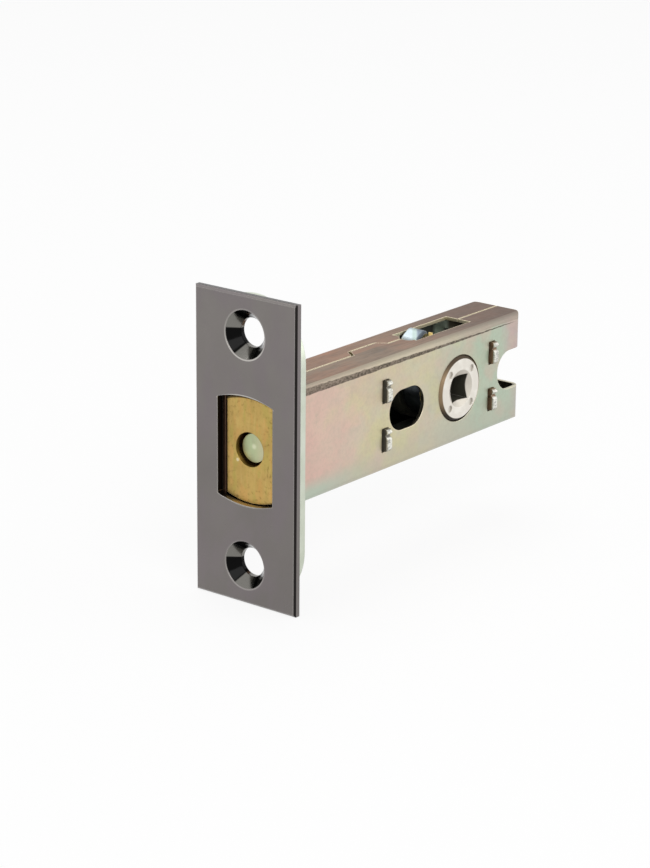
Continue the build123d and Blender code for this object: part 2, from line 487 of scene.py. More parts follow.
@dataclass(frozen=True)
class ScrewDimples:
    """Polished funnels of the two screws in the faceplate, with painted shade and painted reflections
    in them.
    """

    pitch: float = 44.8
    funnel_sq: Span = (21.59, 22.19)
    funnel_x: Span = (0.02, 0.12)
    lip_sq: Band = (21.9024, 24.4036, 0.3)
    lip_fade: Span = (-4.4, 2.5)
    lip_fade_share: float = 0.75
    # black is painted shade in the funnels; glint and the gleams are painted reflections.
    black: Colour = (0.006, 0.006, 0.006)
    glint: Tone = Tone((0.190, 0.184, 0.168))
    gleams: tuple[Gleam, Gleam] = (
        Gleam(0.848, 0.530, 0.900, 0.930),
        Gleam(0.070, -0.998, 0.865, 0.905),
    )

    def above(self, graph: Surface) -> Wire:
        """Height over the nearer screw's axis."""
        return graph.z - graph.z.sign() * (self.pitch / 2)

    def across_sq(self, graph: Surface) -> Wire:
        """Square of the distance from the nearer screw's axis."""
        return graph.y.square() + self.above(graph).square()

    def funnels(self, graph: Surface) -> Wire:
        """Mask of the funnels."""
        return self.across_sq(graph).fall(*self.funnel_sq) * graph.x.rise(*self.funnel_x)

    def painted_shade_and_glint(self, graph: Surface) -> Wire:
        """Colour of the funnels: black painted shade, with a grey painted reflection at the upper far
        side and at the bottom.

        Args:
            graph: the material's graph.

        Returns:
            The colour.
        """
        reach = self.across_sq(graph).root()
        above = self.above(graph)
        upper, lower = (
            ((graph.y * gleam.y + above * gleam.z) / reach).rise(gleam.start, gleam.full)
            for gleam in self.gleams
        )
        return graph.lay(self.black, self.glint, upper.most(lower))

    def lip_highlights(self, graph: Surface) -> Wire:
        """Mask of the painted highlight on the rounded rims of the funnels, strongest below."""
        low = 1 - self.above(graph).rise(*self.lip_fade) * self.lip_fade_share
        return self.across_sq(graph).within(*self.lip_sq) * low


@dataclass(frozen=True)
class BoltOpening:
    """Masks of the arched opening in the faceplate: walls in painted shade, the lower wall in painted
    light, and the arched ends in painted highlight.
    """

    arch: float = 0.0313
    wide: Span = (6.66, 6.71)
    high: Span = (10.62, 10.67)
    walls_x: Span = (0.03, 0.15)
    far_wall: Span = (4.5, 6.0)
    top_wall: Span = (8.0, 9.4)
    sill_at: Band = (10.52, 10.67, 0.04)
    lip_at: Band = (10.60, 10.82, 0.06)
    lip_wide: Span = (6.66, 6.96)

    def shaded(self, graph: Surface) -> Wire:
        """Mask of the shaded walls, at the far side and at the top."""
        walls = graph.y.rise(*self.far_wall).most(graph.z.rise(*self.top_wall))
        return graph.core(self.wide, self.high) * graph.x.rise(*self.walls_x) * walls

    def sill_light(self, graph: Surface) -> Wire:
        """Mask of the lower wall, where light is painted.

        Args:
            graph: the material's graph.

        Returns:
            1 on the wall.
        """
        below = graph.y.square() * self.arch - graph.z
        wall = below.within(*self.sill_at) * graph.y.size().fall(*self.wide)
        return wall * graph.x.rise(*self.walls_x)

    def lip_highlights(self, graph: Surface) -> Wire:
        """Mask of the painted highlight along both arched ends of the opening."""
        ends = (graph.z.size() + graph.y.square() * self.arch).within(*self.lip_at)
        return ends * graph.y.size().fall(*self.lip_wide)


@dataclass(frozen=True)
class BlackNickel(Finish):
    """Satin black nickel, polished, with painted shade and reflections inside the screw dimples and
    painted shade in the opening.
    """

    smear_swing: float = 0.12
    dimples: ScrewDimples = ScrewDimples()
    opening: BoltOpening = BoltOpening()
    pale: Colour = (0.245, 0.228, 0.216)
    rosy: Tone = Tone((0.205, 0.180, 0.188), 0.6, Cloud(0.16, 4.0, 0.42, 0.62, (1.0, 1.0, 0.45), 31.0))
    # black is painted shade on the opening's walls, the near bevel and the top edge.
    black: Tone = Tone((0.022, 0.020, 0.019))
    # Painted light on the lower wall of the opening.
    sill_light: Tone = Tone((0.60, 0.50, 0.34), 0.9)
    fade_z: Span = (-26.0, 30.0)
    fade_share: float = 0.5
    fade_cloud: Cloud = Cloud(0.10)
    fade_swing: float = 0.8
    near_bevel: Span = (11.72, 11.80)
    near_bevel_x: Span = (0.4, 0.5)
    top_edge: Span = (29.94, 29.99)
    top_share: float = 0.75
    halves: Span = (-1.0, 1.0)
    # Share of the painted highlights on the lower half of the plate.
    lower_half_highlight: float = 0.35
    front_x: Span = (0.04, 0.30)
    polish_gain: float = 0.16

    def shaded_edges(self, graph: Surface) -> Wire:
        """Mask of the painted shade on the near bevel and on the top edge."""
        corner = (-graph.y).rise(*self.near_bevel) * graph.x.fall(*self.near_bevel_x)
        return corner.most(graph.z.rise(*self.top_edge) * self.top_share)

    def tint(self, graph: Surface) -> Wire:
        """Grey front, paler to the top, with painted shade on its edges and opening, painted shade and
        reflections in the dimples, and painted light on the lower wall.

        Args:
            graph: the material's graph.

        Returns:
            The colour.
        """
        tall = graph.z.rise(*self.fade_z) * self.fade_share
        faded = graph.mix(tall + graph.drift(self.fade_cloud, self.fade_swing), self.colour, self.pale)
        front = graph.lay(faded, self.rosy)
        # Painted shade on the opening's walls, the near bevel and the top edge.
        dark = graph.lay(front, self.black, self.opening.shaded(graph).most(self.shaded_edges(graph)))
        dimpled = graph.mix(self.dimples.funnels(graph), dark, self.dimples.painted_shade_and_glint(graph))
        return graph.lay(dimpled, self.sill_light, self.opening.sill_light(graph))

    def rub(self, graph: Surface, rim: Wire) -> Wire:
        """Edges rubbed bright, partly as a painted highlight, with painted highlights round the funnels
        and the arched ends, on the front only.

        Args:
            graph: the material's graph.
            rim: mask of the edges.

        Returns:
            How far they are rubbed bright.
        """
        upper = self.lower_half_highlight + graph.z.rise(*self.halves) * (1 - self.lower_half_highlight)
        # Painted highlights round the funnels and along the opening's arched ends.
        lip_highlights = self.dimples.lip_highlights(graph).most(self.opening.lip_highlights(graph)) * upper
        return super().rub(graph, rim).most(lip_highlights) * graph.x.fall(*self.front_x)

    def shine(self, graph: Surface) -> Wire:
        """Satin front and polished funnels."""
        return super().shine(graph) - self.dimples.funnels(graph) * self.polish_gain


@dataclass(frozen=True)
class ForendZinc(Finish):
    """Pale zinc plate, in shade where it lines the passage for the case."""

    shade: Tone = Tone((0.022, 0.020, 0.017))
    passage_y: Span = (7.3, 7.4)
    passage_z: Span = (11.9, 12.0)
    passage_x: Span = (3.05, 3.18)

    def passage(self, graph: Surface) -> Wire:
        """Mask of the passage behind the faceplate."""
        return graph.core(self.passage_y, self.passage_z) * graph.x.fall(*self.passage_x)

    def tint(self, graph: Surface) -> Wire:
        """Mint grey, dark in the passage."""
        return graph.lay(super().tint(graph), self.shade, self.passage(graph))

    def rub(self, graph: Surface, rim: Wire) -> Wire:
        """Edges outside the passage only."""
        return super().rub(graph, rim) * (1 - self.passage(graph))


@dataclass(frozen=True)
class SideBands:
    """Pastel bands along the side walls of the case."""

    length: float = 80.0
    lean: float = 0.003
    bands: tuple[tuple[float, Colour], ...] = (
        (0.00, (0.60, 0.45, 0.40)),
        (0.10, (0.66, 0.44, 0.38)),
        (0.28, (0.66, 0.49, 0.40)),
        (0.42, (0.61, 0.55, 0.35)),
        (0.56, (0.60, 0.53, 0.39)),
        (0.70, (0.52, 0.51, 0.40)),
        (0.82, (0.44, 0.525, 0.41)),
        (0.93, (0.455, 0.525, 0.42)),
        (0.975, (0.48, 0.39, 0.38)),
    )
    slow: Cloud = Cloud(0.085)
    slow_swing: float = 0.40
    quick: Cloud = Cloud(0.30, 4.0, seed=5.0)
    quick_swing: float = 0.2
    calm_x: Span = (64.0, 76.0)
    blotch: Tone = Tone((0.42, 0.38, 0.30), 0.25, Cloud(0.45, 5.0, 0.50, 0.72, seed=11.0))
    sheen: Tone = Tone((0.53, 0.55, 0.43), 0.35, Cloud(0.20, 4.0, 0.42, 0.62, (1.0, 1.0, 1.6), 17.0))
    sheen_x: Span = (8.0, 30.0)
    lemon: Tone = Tone((0.60, 0.57, 0.31), 0.45, Cloud(0.13, 4.0, 0.50, 0.66, seed=23.0))
    lemon_x: Band = (24.0, 62.0, 8.0)
    rose: Tone = Tone((0.60, 0.46, 0.38), 0.45, Cloud(0.15, 4.0, 0.52, 0.68, seed=29.0))
    fine: Tone = Tone((0.40, 0.36, 0.28), 0.16, Cloud(1.7, 4.0, 0.40, 0.66, seed=33.0))
    mint: Tone = Tone((0.42, 0.54, 0.44), 0.8)
    mint_x: Span = (12.0, 36.0)
    mint_z: Span = (-9.8, -6.4)
    drab: Tone = Tone((0.43, 0.43, 0.36), 0.4)
    drab_x: Span = (6.0, 30.0)
    drab_z: Span = (-9.5, -4.0)

    def banded(self, graph: Surface) -> Wire:
        """Bands that wander along the case, and lie straight at its rear end.

        Args:
            graph: the material's graph.

        Returns:
            The colour.
        """
        wander = graph.drift(self.slow, self.slow_swing) + graph.drift(self.quick, self.quick_swing)
        along = graph.x / self.length + wander * graph.x.fall(*self.calm_x)
        return graph.ramp(along + graph.z * self.lean, self.bands)

    def paint(self, graph: Surface) -> Wire:
        """Bands with their blotches and sheen, minty in front below and drab behind that.

        Args:
            graph: the material's graph.

        Returns:
            The colour.
        """
        mottled = graph.lay(self.banded(graph), self.blotch)
        tinged = graph.lay(mottled, self.sheen, graph.x.rise(*self.sheen_x))
        yellowed = graph.lay(tinged, self.lemon, graph.x.within(*self.lemon_x))
        grained = graph.lay(graph.lay(yellowed, self.rose), self.fine)
        toe = graph.z.fall(*self.mint_z) * graph.x.fall(*self.mint_x)
        low = graph.z.fall(*self.drab_z) * graph.x.rise(*self.drab_x)
        return graph.lay(graph.lay(grained, self.mint, toe), self.drab, low)


@dataclass(frozen=True)
class BrownTop:
    """Brown of the top and bottom, streaked along the case and redder on the far half."""

    brown: Colour = (0.245, 0.178, 0.128)
    streak: Tone = Tone((0.175, 0.135, 0.100), 1.0, Cloud(0.5, 5.0, 0.36, 0.66, (0.12, 1.0, 1.0), 2.0))
    red: Tone = Tone((0.33, 0.178, 0.116))
    blush: Cloud = Cloud(0.16, 4.0, 0.45, 0.66, (0.5, 1.0, 1.0), 21.0)
    blush_share: float = 0.5
    far_y: Span = (-0.2, 0.4)
    far_share: float = 0.55
    far_fade_x: Span = (25.0, 60.0)
    far_fade: float = 0.6
    # Darker towards the rear.
    rear_darkening: Tone = Tone((0.125, 0.078, 0.060), 0.72)
    rear_darkening_x: Span = (42.0, 74.0)
    hairs: Tone = Tone((0.110, 0.082, 0.064), 0.35, Cloud(2.4, 4.0, 0.42, 0.70, (0.10, 1.0, 1.0), 14.0))

    def paint(self, graph: Surface) -> Wire:
        """Streaked brown, flushed red on the far half and darker to the rear.

        Args:
            graph: the material's graph.

        Returns:
            The colour.
        """
        fading = 1 - graph.x.rise(*self.far_fade_x) * self.far_fade
        far = graph.y.rise(*self.far_y) * fading * self.far_share
        flush = graph.cloud(self.blush) * self.blush_share + far
        flushed = graph.lay(graph.lay(self.brown, self.streak), self.red, flush)
        return graph.lay(graph.lay(flushed, self.rear_darkening, graph.x.rise(*self.rear_darkening_x)), self.hairs)


@dataclass(frozen=True)
class BendHighlightAndScuff:
    """Beige upper bend of the near half, partly a painted highlight, with a rough dark band under it
    that is scuffing and painted dark reflection.
    """

    outer_y: Span = (5.20, 5.55)
    # The beige bend is partly a painted highlight.
    beige: Colour = (0.38, 0.335, 0.262)
    tan: Tone = Tone((0.265, 0.222, 0.185))
    tan_x: Span = (44.0, 74.0)
    bend_z: Span = (9.9, 10.3)
    bend_share: float = 0.85
    # The rough band: scuffing with a painted dark reflection, mottled darker.
    scuff_and_dark_reflection: Colour = (0.20, 0.158, 0.125)
    dark_mottle: Tone = Tone((0.050, 0.040, 0.030), 1.0, Cloud(3.0, 4.0, 0.34, 0.66, (0.6, 1.0, 1.0), 9.0))
    mottle_front: float = 0.6
    mottle_x: Span = (5.0, 26.0)
    ragged: Cloud = Cloud(1.4, 4.0, stretch=(0.5, 1.0, 1.0), seed=8.0)
    ragged_swing: float = 0.34
    band_low: Span = (9.60, 9.76)
    band_top: float = 11.1
    band_slope: float = 0.0165
    band_soft: Span = (-0.09, 0.09)
    band_end: Span = (74.0, 79.0)
    band_share: float = 0.92

    def band(self, graph: Surface) -> Wire:
        """Mask of the rough band, tall in front and thin at the rear.

        Args:
            graph: the material's graph.

        Returns:
            1 in the band.
        """
        ragged = graph.z + graph.drift(self.ragged, self.ragged_swing)
        below = (ragged - (self.band_top - graph.x * self.band_slope)).fall(*self.band_soft)
        return ragged.rise(*self.band_low) * below * graph.x.fall(*self.band_end)

    def paint(self, graph: Surface, under: Wire) -> Wire:
        """Bend and band, with their painted highlight and painted dark reflection, over the colour of
        the case.

        Args:
            graph: the material's graph.
            under: colour of the case.

        Returns:
            The colour.
        """
        outer = (-graph.y).rise(*self.outer_y)
        bend = graph.lay(self.beige, self.tan, graph.x.rise(*self.tan_x))
        bent = graph.mix(graph.z.rise(*self.bend_z) * outer * self.bend_share, under, bend)
        mottle_share = self.mottle_front + graph.x.rise(*self.mottle_x) * (1 - self.mottle_front)
        rough = graph.lay(self.scuff_and_dark_reflection, self.dark_mottle, mottle_share)
        return graph.mix(self.band(graph) * outer * self.band_share, bent, rough)


@dataclass(frozen=True)
class CutSheet:
    """Cream cut edges of the sheet, a painted highlight, along the seam and round the top window."""

    # cream is a painted highlight on the cut edges.
    cream: Tone = Tone((0.62, 0.55, 0.38), 0.9)
    under_top: Span = (10.63, 10.70)
    window_x: Band = (48.6, 66.7, 0.04)
    window_y: Span = (3.04, 3.12)
    seam_y: Span = (0.20, 0.32)
    step_x: Band = (32.6, 43.3, 0.1)
    tongue_x: Band = (34.1, 41.9, 0.1)
    tongue_y: float = 2.1

    def paint(self, graph: Surface, under: Wire) -> Wire:
        """Cut edges, with their painted highlight, over the colour of the case.

        Args:
            graph: the material's graph.
            under: colour of the case.

        Returns:
            The colour.
        """
        window = graph.x.within(*self.window_x) * graph.y.size().fall(*self.window_y)
        straight = graph.y.size().fall(*self.seam_y) * (1 - graph.x.within(*self.step_x))
        tongue = (graph.y - self.tongue_y).size().fall(*self.seam_y) * graph.x.within(*self.tongue_x)
        cut = window.most(straight.most(tongue))
        return graph.lay(under, self.cream, cut * graph.z.rise(*self.under_top))


@dataclass(frozen=True)
class CaseInside:
    """Slot, notch and the inside of the case, with painted shade in the slot, inside and on the front
    end, and a pale patch of painted light behind the top window.
    """

    wall_y: Span = (5.78, 5.85)
    under_top: Span = (10.63, 10.70)
    rear_x: Span = (79.28, 79.35)
    inside_share: float = 0.94
    pierced_y: Span = (6.40, 6.48)
    pierced_z: Span = (4.12, 4.2)
    # Painted shade in the slot.
    slot: Tone = Tone((0.050, 0.044, 0.028), 0.9)
    slot_x: Band = (35.5, 46.9, 0.05)
    notch: Tone = Tone((0.56, 0.53, 0.38), 0.8)
    notch_x: Span = (71.3, 71.5)
    # Painted shade inside the case, browner at the rear, and a patch of painted light where light comes
    # through the top window.
    dark: Colour = (0.018, 0.018, 0.015)
    umber: Tone = Tone((0.085, 0.070, 0.045))
    umber_x: Span = (68.0, 72.0)
    patch: Tone = Tone((0.44, 0.54, 0.42))
    patch_x: Band = (66.4, 71.0, 0.8)
    patch_y: Span = (4.5, 5.2)
    patch_z: Band = (6.8, 9.4, 0.4)
    patch_dull: float = 0.85
    # Painted shade on the front end, inside the faceplate.
    mouth: Tone = Tone((0.105, 0.062, 0.040))
    mouth_x: Span = (1.45, 1.55)

    def pale(self, graph: Surface) -> Wire:
        """Mask of the pale patch of painted light on the far wall."""
        length = graph.x.within(*self.patch_x) * graph.z.within(*self.patch_z)
        return length * graph.y.rise(*self.patch_y)

    def metal(self, graph: Surface) -> Wire:
        """Metallic, low on the pale patch of painted light."""
        return 1 - self.pale(graph) * graph.y.fall(*self.wall_y) * self.patch_dull

    def inside_shade(self, graph: Surface) -> Wire:
        """Colour inside in painted shade: dark, browner at the rear, with the pale patch of painted
        light.
        """
        deep = graph.lay(self.dark, self.umber, graph.x.rise(*self.umber_x))
        return graph.lay(deep, self.patch, self.pale(graph))

    def paint(self, graph: Surface, under: Wire) -> Wire:
        """Slot, notch, inside and front end over the colour of the case, with painted shade in the
        slot, the inside and the front end.

        Args:
            graph: the material's graph.
            under: colour of the case.

        Returns:
            The colour.
        """
        pierced = graph.core(self.pierced_y, self.pierced_z)
        slotted = graph.lay(under, self.slot, pierced * graph.x.within(*self.slot_x))
        notched = graph.lay(slotted, self.notch, pierced * graph.x.rise(*self.notch_x))
        walls = graph.core(self.wall_y, self.under_top)
        inside = walls * graph.x.fall(*self.rear_x) * self.inside_share
        shaded_inside = graph.mix(inside, notched, self.inside_shade(graph))
        return graph.lay(shaded_inside, self.mouth, graph.x.fall(*self.mouth_x))


@dataclass(frozen=True)
class Passivate(Finish):
    """Yellow passivated zinc with its drifting pinks, golds and greens."""

    smear_swing: float = 0.2
    side: SideBands = SideBands()
    top: BrownTop = BrownTop()
    bend: BendHighlightAndScuff = BendHighlightAndScuff()
    cuts: CutSheet = CutSheet()
    inside: CaseInside = CaseInside()
    top_z: Span = (11.05, 11.30)
    dull_z: Span = (9.4, 10.2)
    dull_gain: float = 0.12
    rubbed_x: Span = (1.6, 2.2)
    rubbed_z: Span = (10.7, 11.0)
    side_lift: float = 4.8

    def tint(self, graph: Surface) -> Wire:
        """Bands on the sides, a brown top, the upper bend and cut edges with painted highlights, and
        the inside in painted shade with a patch of painted light.

        Args:
            graph: the material's graph.

        Returns:
            The colour.
        """
        over = graph.z.size().rise(*self.top_z)
        skin = graph.mix(over, self.side.paint(graph), self.top.paint(graph))
        edged = self.cuts.paint(graph, self.bend.paint(graph, skin))
        return self.inside.paint(graph, edged)

    def metal(self, graph: Surface) -> Value:
        """Metallic, low on the patch of painted light inside."""
        return self.inside.metal(graph)

    def rub(self, graph: Surface, rim: Wire) -> Wire:
        """Edges of the outer skin, behind the forend."""
        outer = graph.z.size().most(graph.y.size() + self.side_lift).rise(*self.rubbed_z)
        return super().rub(graph, rim) * graph.x.rise(*self.rubbed_x) * outer

    def shine(self, graph: Surface) -> Wire:
        """Satin, duller on the top and on the upper bend."""
        return super().shine(graph) + graph.z.rise(*self.dull_z) * self.dull_gain


@dataclass(frozen=True)
class StakedZinc(Finish):
    """Zinc plate, with brown painted shade on the sides of the tabs, and bright where they were struck.
    """

    drab: Tone = Tone((0.40, 0.40, 0.35), 0.5, Cloud(0.6, 4.0, 0.35, 0.7))
    # The brown with its dark mottle, and the stone grey in front, are painted shade on the sides of the
    # tabs.
    brown: Colour = (0.26, 0.165, 0.095)
    dark_mottle: Tone = Tone((0.060, 0.040, 0.026), 0.8, Cloud(1.1, 4.0, 0.44, 0.70, seed=16.0))
    stone: Tone = Tone((0.150, 0.138, 0.112))
    stone_x: Span = (45.0, 55.0)
    grey: Colour = (0.36, 0.36, 0.33)
    mark: Cloud = Cloud(1.7, 3.0, 0.32, 0.56, (1.0, 1.0, 1.6), 6.0)
    tab_y: Span = (5.8, 5.9)
    struck_y: Span = (7.00, 7.32)

    def tint(self, graph: Surface) -> Wire:
        """Dull inside the case, brown painted shade on the tab sides outside, greyer in front, and
        bright on the struck ends.

        Args:
            graph: the material's graph.

        Returns:
            The colour.
        """
        out = graph.y.size()
        plain = graph.lay(self.colour, self.drab)
        tab_shade = graph.lay(graph.lay(self.brown, self.dark_mottle), self.stone, graph.x.fall(*self.stone_x))
        tab = graph.mix(out.rise(*self.tab_y), plain, tab_shade)
        bright = graph.mix(graph.cloud(self.mark), self.grey, self.worn)
        return graph.mix(out.rise(*self.struck_y), tab, bright)


@dataclass(frozen=True)
class HubCast(Finish):
    """Cream cast zinc with four dents, and painted shade on its brown rim, in its cone, in the dents
    and in its dark square bore.
    """

    wear: Cloud = Cloud(0.5, 5.0, 0.40, 0.72)
    wear_share: float = 0.6
    axis_x: float = 58.4
    face_y: float = 6.95
    face_r: Span = (6.00, 6.13)
    rubbed_sq: Span = (35.0, 37.0)
    # Painted shade: the brown and black of the rim, and the tones of the cone, the bore and the dents.
    brown: Colour = (0.235, 0.165, 0.095)
    black: Tone = Tone((0.024, 0.016, 0.010))
    rim_below: Span = (1.0, 5.0)
    rim_above: Span = (2.5, 6.0)
    rim_above_share: float = 0.8
    cone: Tone = Tone((0.50, 0.465, 0.40), 0.75)
    cone_r: Span = (3.75, 3.87)
    cone_fall: float = 0.577
    bore: Tone = Tone((0.090, 0.088, 0.066))
    bore_r: Span = (3.97, 4.25)
    barrel_r: Span = (3.66, 3.74)
    barrel_deep: Span = (1.25, 1.45)
    dent_shade: Tone = Tone((0.24, 0.21, 0.17))
    dent_at: float = 3.50
    dent_sq: Span = (0.46, 0.66)
    dent_deep: Span = (0.02, 0.12)
    dent_lee: Span = (-0.25, 0.5)
    dent_least: float = 0.15
    dent_more: float = 0.6

    def reach_sq(self, graph: Surface) -> Wire:
        """Square of the distance from the hub's axis."""
        return (graph.x - self.axis_x).square() + graph.z.square()

    def depth(self, graph: Surface) -> Wire:
        """Depth behind the face of either bush."""
        return self.face_y - graph.y.size()

    def dents(self, graph: Surface) -> Wire:
        """Mask of the painted shade in the four dents, darker on their lee side.

        Args:
            graph: the material's graph.

        Returns:
            How far they are shaded.
        """
        off = graph.x - self.axis_x
        apart_sq = (off.size() - self.dent_at).square() + (graph.z.size() - self.dent_at).square()
        sunk = apart_sq.fall(*self.dent_sq) * self.depth(graph).rise(*self.dent_deep)
        lee = (off - off.sign() * self.dent_at).rise(*self.dent_lee)
        return sunk * (self.dent_least + lee * self.dent_more)

    def bored(self, graph: Surface) -> Wire:
        """Mask of the painted shade in the square bore past its cone, and on what lies inside the case.

        Args:
            graph: the material's graph.

        Returns:
            1 there.
        """
        reach = self.reach_sq(graph).root()
        depth = self.depth(graph)
        barrel = reach.rise(*self.barrel_r)
        past = (reach + depth / self.cone_fall).rise(*self.bore_r)
        return (past * (1 - barrel)).most(depth.rise(*self.barrel_deep) * barrel)

    def rim(self, graph: Surface) -> Wire:
        """Painted shade on the rim: brown, black above and below."""
        above = graph.z.rise(*self.rim_above) * self.rim_above_share
        return graph.lay(self.brown, self.black, (-graph.z).rise(*self.rim_below).most(above))

    def tint(self, graph: Surface) -> Wire:
        """Cream face with painted shade in its cone and dents, brown painted shade past its rim, and
        dark painted shade in the bore and the case.

        Args:
            graph: the material's graph.

        Returns:
            The colour.
        """
        reach = self.reach_sq(graph).root()
        sunk = graph.lay(super().tint(graph), self.cone, reach.fall(*self.cone_r))
        marked = graph.lay(sunk, self.dent_shade, self.dents(graph))
        faced = graph.mix(reach.rise(*self.face_r), marked, self.rim(graph))
        return graph.lay(faced, self.bore, self.bored(graph))

    def rub(self, graph: Surface, rim: Wire) -> Wire:
        """Edges of the bore and of the face, not of the brown rim."""
        return super().rub(graph, rim) * self.reach_sq(graph).fall(*self.rubbed_sq)


@dataclass(frozen=True)
class MottledBrass(Finish):
    """Drawn brass with dull mottling, and a bright stake mark beside the pin."""

    wear: Cloud = Cloud(0.30, 6.0, 0.36, 0.66)
    wear_share: float = 0.7
    arch: float = 0.0313
    streak: Tone = Tone((0.66, 0.48, 0.18), 0.35, Cloud(0.9, 4.0, 0.45, 0.75, (1.0, 1.6, 0.3), 12.0))
    olive: Tone = Tone((0.44, 0.37, 0.095), 0.5, Cloud(0.6, 5.0, 0.46, 0.64, (1.0, 1.5, 0.35), 41.0))
    amber: Tone = Tone((0.62, 0.345, 0.115), 0.5, Cloud(0.5, 5.0, 0.48, 0.66, (1.0, 1.2, 0.5), 47.0))
    speck: Tone = Tone((0.20, 0.12, 0.035), 1.0, Cloud(1.5, 6.0, 0.50, 0.74, seed=4.0))
    speck_y: Span = (2.5, 5.6)
    speck_z: Span = (6.0, 10.4)
    speck_least: float = 0.20
    speck_more: float = 0.42
    # Painted shadow of the faceplate's top edge along the top of the front.
    brow_shadow: Tone = Tone((0.030, 0.020, 0.010), 0.9)
    brow_at: Span = (9.72, 9.96)
    brow_x: Span = (1.75, 1.95)
    # Painted shade in the recess round the pin.
    cup_shade: Tone = Tone((0.210, 0.095, 0.030), 0.85)
    cup_sq: Span = (11.3225, 11.7225)
    cup_x: Span = (1.44, 1.60)
    # Painted light on the bottom bevel, which lies in shade.
    foot_light: Tone = Tone((0.75, 0.56, 0.24), 0.9)
    foot_at: Span = (10.20, 10.28)
    foot_x: Span = (1.68, 1.76)
    foot_dull: float = 0.85
    stake: Tone = Tone((0.72, 0.62, 0.38))
    stake_at: Point = (1.4, 2.9, -2.5)
    stake_r: float = 0.32
    stake_soft: float = 0.12

    def mottled(self, graph: Surface) -> Wire:
        """Gold with streaks, olive and amber cloud, and dark specks towards the edges.

        Args:
            graph: the material's graph.

        Returns:
            The colour.
        """
        drawn = graph.lay(super().tint(graph), self.streak)
        tarnished = graph.lay(graph.lay(drawn, self.olive), self.amber)
        rim = graph.y.size().rise(*self.speck_y).most(graph.z.size().rise(*self.speck_z))
        return graph.lay(tarnished, self.speck, self.speck_least + rim * self.speck_more)

    def bevel(self, graph: Surface) -> Wire:
        """Mask of the bevel along the bottom of the front, where light is painted."""
        low = (graph.y.square() * self.arch - graph.z).rise(*self.foot_at)
        return low * graph.x.fall(*self.foot_x)

    def tint(self, graph: Surface) -> Wire:
        """Mottled gold, with a painted shadow along the top of the front, painted shade round the pin
        and painted light on the bottom bevel.

        Args:
            graph: the material's graph.

        Returns:
            The colour.
        """
        upper = (graph.z + graph.y.square() * self.arch).rise(*self.brow_at)
        shaded = graph.lay(self.mottled(graph), self.brow_shadow, upper * graph.x.fall(*self.brow_x))
        cupped = (graph.y.square() + graph.z.square()).fall(*self.cup_sq) * graph.x.rise(*self.cup_x)
        lit = graph.lay(graph.lay(shaded, self.cup_shade, cupped), self.foot_light, self.bevel(graph))
        return graph.lay(lit, self.stake, graph.spot(self.stake_at, self.stake_r, self.stake_soft))

    def metal(self, graph: Surface) -> Value:
        """Metallic, low on the bevel along the bottom, where light is painted."""
        return 1 - self.bevel(graph) * self.foot_dull


@dataclass(frozen=True)
class HardPin(Finish):
    """Hard pin with a small pale centre on its end, a painted highlight."""

    olive: Tone = Tone((0.44, 0.46, 0.29), 0.5, Cloud(0.7, 5.0, 0.35, 0.7, (1.0, 1.5, 0.6)))
    cream: Tone = Tone((0.62, 0.54, 0.36), 0.55)
    cream_y: Span = (-0.8, 2.4)
    # The pale centre is a painted highlight.
    centre: Point = (2.7, 0.0, 0.3)
    centre_r: float = 0.45
    centre_soft: float = 0.30
    centre_share: float = 0.7

    def tint(self, graph: Surface) -> Wire:
        """Grey green, creamier to the near side, with the small pale centre as a painted highlight.

        Args:
            graph: the material's graph.

        Returns:
            The colour.
        """
        plain = graph.lay(self.colour, self.olive)
        creamy = graph.lay(plain, self.cream, (-graph.y).rise(*self.cream_y))
        turned = graph.spot(self.centre, self.centre_r, self.centre_soft)
        return graph.lay(creamy, Tone(self.worn, self.centre_share), turned)


@dataclass(frozen=True)
class CamZinc(Finish):
    """Cast cam, pale on its finger, with painted shade where its near face turns away."""

    # mint, slate and dark are painted shade on the finger's facets, its near face and inside the case.
    mint: Tone = Tone((0.36, 0.44, 0.42))
    mint_at: Band = (51.3, 52.7, 0.25)
    slate: Tone = Tone((0.120, 0.150, 0.190), 0.85)
    slate_at: Span = (52.3, 53.2)
    slant: float = 1.28
    dark: Tone = Tone((0.050, 0.055, 0.062), 0.92)
    near_y: Span = (-1.55, -0.85)
    finger_z: Span = (8.8, 10.6)

    def tint(self, graph: Surface) -> Wire:
        """Pale finger with painted shade: a mint strip, a slate corner, the near face and what lies in
        the case.

        Args:
            graph: the material's graph.

        Returns:
            The colour.
        """
        along = graph.x - graph.y * self.slant
        ridged = graph.lay(super().tint(graph), self.mint, along.within(*self.mint_at))
        corner = graph.lay(ridged, self.slate, along.rise(*self.slate_at))
        hidden = graph.y.fall(*self.near_y).most(graph.z.fall(*self.finger_z))
        return graph.lay(corner, self.dark, hidden)


@dataclass
class Piece:
    """A CAD node and the finish that it gets."""

    node: str
    finish: Finish

    def dress(self, frame: dict[str, Any], made: dict[str, bpy.types.Material]) -> None:
        """Gives the node its finish.

        Args:
            frame: the loaded frame.
            made: materials made so far, by name.
        """
        if self.finish.name not in made:
            made[self.finish.name] = self.finish.build()
        mesh = frame["nodes"][self.node].data
        mesh.materials.clear()
        mesh.materials.append(made[self.finish.name])
        LOG.info("%s finished in %s", self.node, self.finish.name)


class Assembly:
    """Pieces that belong together and are dressed in order."""

    def pieces(self) -> list[Piece]:
        """Pieces of the assembly."""
        raise NotImplementedError

    def dress(self, frame: dict[str, Any], made: dict[str, bpy.types.Material]) -> None:
        """Gives every piece its finish."""
        for piece in self.pieces():
            piece.dress(frame, made)


